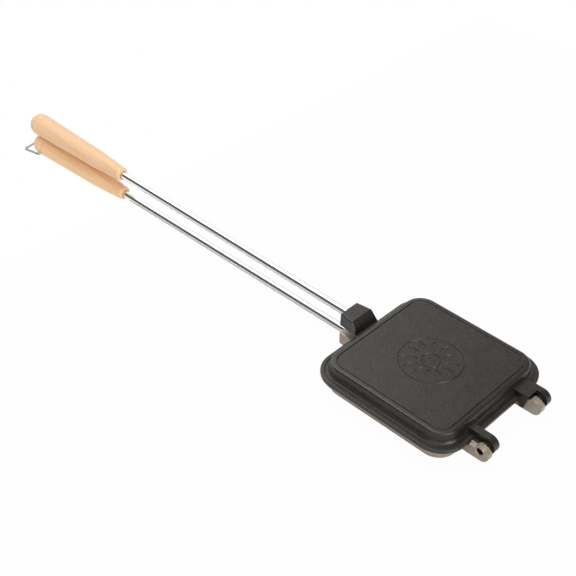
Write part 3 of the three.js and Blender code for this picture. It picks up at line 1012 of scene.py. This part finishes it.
def coating_material(name, dark, light, roughness):
    """Baked dark coating: a soft orange peel, fine grains with painted glints, and faint cloudy
    patches.
    """
    made, graph = new_material(name)
    place = object_place(graph)
    clouds = graph.noise(place, CLOUD_SIZE, detail=3.0)
    grains = graph.noise(place, GRAIN_SIZE, roughness=0.6)
    peel = graph.noise(place, PEEL_SIZE, detail=1.0)
    tone = graph.mix(graph.ramp(clouds, *NOISE_MIDDLE), dark, light)
    # Painted glints: the brightest grains take five times the light tone in the base colour
    painted_glints = graph.ramp(grains, *PAINTED_GLINT_EDGE, end=PAINTED_GLINT_SHARE)
    tone = graph.mix(painted_glints, tone, scaled(light, PAINTED_GLINT_BRIGHTNESS))
    cloud_sheen = graph.ramp(clouds, *NOISE_WIDE, roughness - CLOUD_SHEEN, roughness + CLOUD_SHEEN)
    grain_sheen = graph.ramp(grains, *NOISE_WIDE, -GRAIN_SHEEN, GRAIN_SHEEN)
    normal = graph.bump(peel, PEEL_DEPTH)
    normal = graph.bump(grains, GRAIN_DEPTH, normal=normal)
    graph.principled({
        "Base Color": tone,
        "Roughness": graph.math("ADD", cloud_sheen, grain_sheen),
        "Specular IOR Level": COATING_SPECULAR,
        "Specular Tint": SPECULAR_WARMTH,
        "Coat Weight": COAT_WEIGHT,
        "Coat Roughness": COAT_ROUGHNESS,
        "Coat Tint": SPECULAR_WARMTH,
        "Normal": normal,
        "Coat Normal": normal,
    })
    return made


# Bare casting, with the sizes of its features and the depths of its bumps in metres
FLOW_SIZE = 0.012
SKIN_SIZE = 0.0008
SKIN_DEPTH = 0.00005
SKIN_SHADE = 0.6
SKIN_EDGE = (0.6, 0.42)
SKIN_SHARE = 0.3
SKIN_SHEEN = 0.06
PIT_SIZE = 0.0016
PIT_DEPTH = 0.00008
PIT_SHADE = 0.45
PIT_EDGE = (0.3, 0.22)
PIT_SHARE = 0.5
CASTING_METAL = 0.6


def casting_material(name, dark, light, roughness):
    """Bare warm-grey casting: a blasted skin with fine pits and a faint flow pattern."""
    made, graph = new_material(name)
    place = object_place(graph)
    flow = graph.noise(place, FLOW_SIZE, detail=4.0, roughness=0.55, distortion=0.6)
    skin = graph.noise(place, SKIN_SIZE, detail=3.0, roughness=0.6)
    pits = graph.noise(place, PIT_SIZE, detail=1.0)
    tone = graph.mix(graph.ramp(flow, *NOISE_MIDDLE), dark, light)
    worn = graph.ramp(skin, *SKIN_EDGE, end=SKIN_SHARE)
    tone = graph.mix(worn, tone, scaled(dark, SKIN_SHADE))
    pitted = graph.ramp(pits, *PIT_EDGE, end=PIT_SHARE)
    tone = graph.mix(pitted, tone, scaled(dark, PIT_SHADE))
    sheen = graph.ramp(skin, *NOISE_MIDDLE, roughness - SKIN_SHEEN, roughness + SKIN_SHEEN)
    normal = graph.bump(skin, SKIN_DEPTH)
    pit_floor = graph.ramp(pits, *PIT_EDGE, start=1.0, end=0.0)
    normal = graph.bump(pit_floor, PIT_DEPTH, normal=normal)
    graph.principled({
        "Base Color": tone,
        "Roughness": sheen,
        "Metallic": CASTING_METAL,
        "Normal": normal,
    })
    return made


# Plating, with the sizes of its features and the depth of its bumps in metres
DRAW_SIZE = 0.0004
DRAW_DEPTH = 0.000004
DRAW_STRETCH = (0.02, 1.0, 1.0)
DRAW_EDGE = (0.4, 0.7)
DRAW_SHEEN = 0.04
HAZE_SIZE = 0.006
HAZE_EDGE = (0.35, 0.7)
HAZE_SHEEN = 0.05
HAZE_SHADE = 0.93


def plated_material(name, colour, roughness, streak):
    """Bright plating over drawn steel, with faint draw lines along X and a slight haze."""
    made, graph = new_material(name)
    place = object_place(graph)
    draw = graph.noise(graph.mapped(place, Scale=DRAW_STRETCH), DRAW_SIZE)
    haze = graph.noise(place, HAZE_SIZE, detail=3.0)
    haze_sheen = graph.ramp(haze, *HAZE_EDGE, roughness, roughness + HAZE_SHEEN)
    draw_sheen = graph.ramp(draw, *DRAW_EDGE, end=DRAW_SHEEN)
    graph.principled({
        "Base Color": graph.mix(graph.ramp(haze, *NOISE_WIDE), colour, scaled(colour, HAZE_SHADE)),
        "Roughness": graph.math("ADD", haze_sheen, draw_sheen),
        "Metallic": 1.0,
        "Normal": graph.bump(draw, DRAW_DEPTH, streak),
    })
    return made


# Wood, with the sizes of its features, the place of its pith and the depth of its bumps in metres
PITH_Y = -0.021
PITH_Z = 0.034
BAND_SPACING = 0.0027
BAND_SWAY = 14.0
BAND_EDGE = (-0.6, 1.0)
BAND_SHARE = 0.6
SWAY_SIZE = 0.012
FIBRE_SIZE = 0.00045
FIBRE_STRETCH = (0.045, 1.0, 1.0)
FIBRE_SHADE = 0.82
FIBRE_EDGE = (0.42, 0.7)
FIBRE_SHARE = 0.22
FLECK_SIZE = 0.00042
FLECK_STRETCH = (0.16, 1.0, 1.0)
FLECK_SHADE = 0.55
FLECK_EDGE = (0.66, 0.74)
FLECK_SHARE = 0.3
WOOD_DEPTH = 0.00003
WOOD_ROUGHNESS = (0.46, 0.56)
WOOD_IOR = 1.45


def wood_material(name, pale, warm, shift):
    """Turned pale beech: soft bands round a far pith, short dark flecks and fine fibres along X."""
    made, graph = new_material(name)
    place = graph.mapped(object_place(graph), Location=shift)
    stretched = graph.mapped(place, Scale=FIBRE_STRETCH)
    sway = graph.noise(stretched, SWAY_SIZE)
    parts = graph.add("ShaderNodeSeparateXYZ", {"Vector": place})
    across = graph.math("ADD", parts.outputs["Y"], -PITH_Y)
    upward = graph.math("ADD", parts.outputs["Z"], -PITH_Z)
    squares = [graph.math("POWER", part, 2.0) for part in (across, upward)]
    distance = graph.math("SQRT", graph.math("ADD", *squares))
    turns = graph.math("MULTIPLY", distance, 2 * math.pi / BAND_SPACING)
    rings = graph.math("SINE", graph.math("ADD", turns, graph.math("MULTIPLY", sway, BAND_SWAY)))
    fibres = graph.noise(stretched, FIBRE_SIZE, detail=3.0, roughness=0.6)
    flecks = graph.noise(graph.mapped(place, Scale=FLECK_STRETCH), FLECK_SIZE, detail=0.0)
    tone = graph.mix(graph.ramp(rings, *BAND_EDGE, end=BAND_SHARE), pale, warm)
    fibre_share = graph.ramp(fibres, *FIBRE_EDGE, end=FIBRE_SHARE)
    tone = graph.mix(fibre_share, tone, scaled(warm, FIBRE_SHADE))
    fleck_share = graph.ramp(flecks, *FLECK_EDGE, end=FLECK_SHARE)
    tone = graph.mix(fleck_share, tone, scaled(warm, FLECK_SHADE))
    normal = graph.bump(fibres, WOOD_DEPTH)
    fleck_floor = graph.ramp(flecks, *FLECK_EDGE, start=1.0, end=0.0)
    normal = graph.bump(fleck_floor, WOOD_DEPTH, normal=normal)
    graph.principled({
        "Base Color": tone,
        "Roughness": graph.ramp(fibres, *NOISE_MIDDLE, *WOOD_ROUGHNESS),
        "IOR": WOOD_IOR,
        "Normal": normal,
    })
    return made


# Stage, in metres
CAMERA_PLACE = (0.37295, -0.56633, 0.64204)
CAMERA_FORWARD = (-0.533277, 0.564956, -0.629635)
CAMERA_RIGHT = (0.719210, 0.694649, 0.014148)
CAMERA_LENS = 69.464
SENSOR = 36.0
CLIP_START = 0.01
FLOOR_HEIGHT = -0.0034
FLOOR_X = (-0.386, 0.549)
FLOOR_Y = (-0.6, 0.6)
WHITE = (1.0, 1.0, 1.0)
PAPER = (0.65, 0.65, 0.65)
GLOW_SHARE = 0.97
LAMP_PLACE = (-0.9, 0.5, 1.7)
LAMP_TARGET = (-0.15, 0, 0)
LAMP_SIZE = 1.0
LAMP_POWER = 2.0


def make_camera():
    forward = Vector(CAMERA_FORWARD).normalized()
    right = Vector(CAMERA_RIGHT).normalized()
    up = right.cross(forward)
    data = bpy.data.cameras.new("camera")
    data.lens = CAMERA_LENS
    data.sensor_width = SENSOR
    data.clip_start = CLIP_START
    camera = bpy.data.objects.new("camera", data)
    bpy.context.scene.collection.objects.link(camera)
    rotation = Matrix((right, up, -forward)).transposed().to_4x4()
    camera.matrix_world = Matrix.Translation(CAMERA_PLACE) @ rotation
    bpy.context.scene.camera = camera


def floor_material():
    """Paper to the light, and to the camera a white glow with a small share of paper in it."""
    made, graph = new_material("white_floor")
    share = graph.math("MULTIPLY", graph.seen(), GLOW_SHARE)
    paper = graph.add("ShaderNodeBsdfDiffuse", {"Color": (*PAPER, 1.0)})
    glow = graph.add("ShaderNodeEmission", {"Color": (*WHITE, 1.0), "Strength": 1.0})
    shader = graph.add("ShaderNodeMixShader", {
        0: share,
        1: paper.outputs["BSDF"],
        2: glow.outputs["Emission"],
    })
    graph.surface(shader.outputs["Shader"])
    return made


def make_floor():
    (x0, x1), (y0, y1) = FLOOR_X, FLOOR_Y
    mesh = bpy.data.meshes.new("floor")
    corners = [(x0, y0), (x1, y0), (x1, y1), (x0, y1)]
    mesh.from_pydata([(x, y, FLOOR_HEIGHT) for x, y in corners], [], [(0, 1, 2, 3)])
    floor = bpy.data.objects.new("floor", mesh)
    bpy.context.scene.collection.objects.link(floor)
    mesh.materials.append(floor_material())


# The even studio's level
STUDIO_LEVEL = 0.97

# Round patches of the studio, each laid over those before it
# Each has its direction, the angles in degrees where it ends and where it is full, and its level
STUDIO_PATCHES = {
    "soft box": ((-0.58, -0.02, 0.81), 28, 17, 2.8),
    "bright top": ((-0.05, 0.0, 1.0), 11, 7, 4.0),
    "side box": ((0.94, -0.08, 0.3), 17, 10, 7.0),
    "dark side": ((-0.065, 0.74, 0.669), 29, 12, 0.12),
    "dark front": ((-0.533, -0.693, 0.485), 38, 26, 0.11),
    "dark back": ((0.64, 0.565, 0.48), 35, 20, 0.11),
}


def make_world():
    """A studio that lights the press by its patches and is plain white to the camera."""
    world = bpy.data.worlds.new("studio")
    bpy.context.scene.world = world
    graph = Graph(world)
    direction = graph.add("ShaderNodeTexCoord").outputs["Generated"]
    tone = (STUDIO_LEVEL,) * 3
    for place, ends_at, full_at, level in STUDIO_PATCHES.values():
        inputs = {0: direction, 1: tuple(Vector(place).normalized())}
        product = graph.add("ShaderNodeVectorMath", inputs, operation="DOT_PRODUCT")
        limits = [math.cos(math.radians(angle)) for angle in (ends_at, full_at)]
        share = graph.ramp(product.outputs["Value"], *limits)
        tone = graph.mix(share, tone, (level,) * 3)
    tone = graph.mix(graph.seen(), tone, WHITE)
    background = graph.add("ShaderNodeBackground", {"Color": tone, "Strength": 1.0})
    output = graph.add("ShaderNodeOutputWorld")
    graph.tree.links.new(background.outputs["Background"], output.inputs["Surface"])


def make_lamp(name, place, target, size, power):
    data = bpy.data.lights.new(name, "AREA")
    data.size = size
    data.energy = power
    lamp = bpy.data.objects.new(name, data)
    bpy.context.scene.collection.objects.link(lamp)
    direction = Vector(target) - Vector(place)
    lamp.rotation_mode = "QUATERNION"
    lamp.rotation_quaternion = direction.to_track_quat("-Z", "Y")
    lamp.location = place


black = coating_material(
    "black_coating", dark=(0.011, 0.010, 0.0088), light=(0.016, 0.0146, 0.013), roughness=0.3
)
# Real coating in the hollows; in the lower knuckles' pin bores the same dark colour is painted
# shade
inside_coating_and_bore_shade = coating_material(
    "hollow_coating_and_bore_shade", dark=(0.016, 0.015, 0.015), light=(0.022, 0.021, 0.020), roughness=0.36
)
beige = casting_material(
    "bare_casting", dark=(0.48, 0.405, 0.34), light=(0.60, 0.515, 0.435), roughness=0.36
)
plate_bright = plated_material(
    "plated_steel", colour=(0.93, 0.93, 0.925), roughness=0.08, streak=0.15
)
wire_bright = plated_material("wire_steel", colour=(0.48, 0.47, 0.45), roughness=0.18, streak=1.0)
# Painted shade: the hinge pins' steel is darkened nearly to black, for the shade in their recessed
# holes
pin_painted_dark = plated_material("pin_steel", colour=(0.08, 0.075, 0.07), roughness=0.45, streak=1.0)
upper_wood = wood_material(
    "upper_wood", pale=(0.90, 0.595, 0.355), warm=(0.84, 0.515, 0.285), shift=(0.0, 0.0, 0.0)
)
# Painted light: the lower grip, in the upper grip's shade, takes paler copies of the wood's colours
lower_wood_painted_lighter = wood_material(
    "lower_wood_painted_lighter", pale=(0.97, 0.64, 0.37), warm=(0.89, 0.53, 0.27), shift=(0.4, 0.013, -0.006)
)

finished(upper_casting(), "upper_half", "upper_pan", "black_coating", black, inside_coating_and_bore_shade)
finished(lower_casting(), "lower_half", "lower_pan", "bare_casting", beige, inside_coating_and_bore_shade)
finished(upper_rod(), "upper_half", "upper_rod", "plated_rod", plate_bright)
finished(lower_rod(), "lower_half", "lower_rod", "plated_rod", plate_bright)
finished(upper_grip(), "upper_half", "upper_grip", "pale_wood", upper_wood)
finished(lower_grip(), "lower_half", "lower_grip", "pale_wood", lower_wood_painted_lighter)
finished(bail(), "bail", "hanging_bail", "wire", wire_bright)
finished(near_pin(), "lower_half", "near_hinge_pin", "pin_steel", pin_painted_dark)
finished(far_pin(), "lower_half", "far_hinge_pin", "pin_steel", pin_painted_dark)

make_camera()
make_floor()
make_world()
make_lamp("key", LAMP_PLACE, LAMP_TARGET, LAMP_SIZE, LAMP_POWER)

bpy.context.scene.view_settings.view_transform = "Standard"
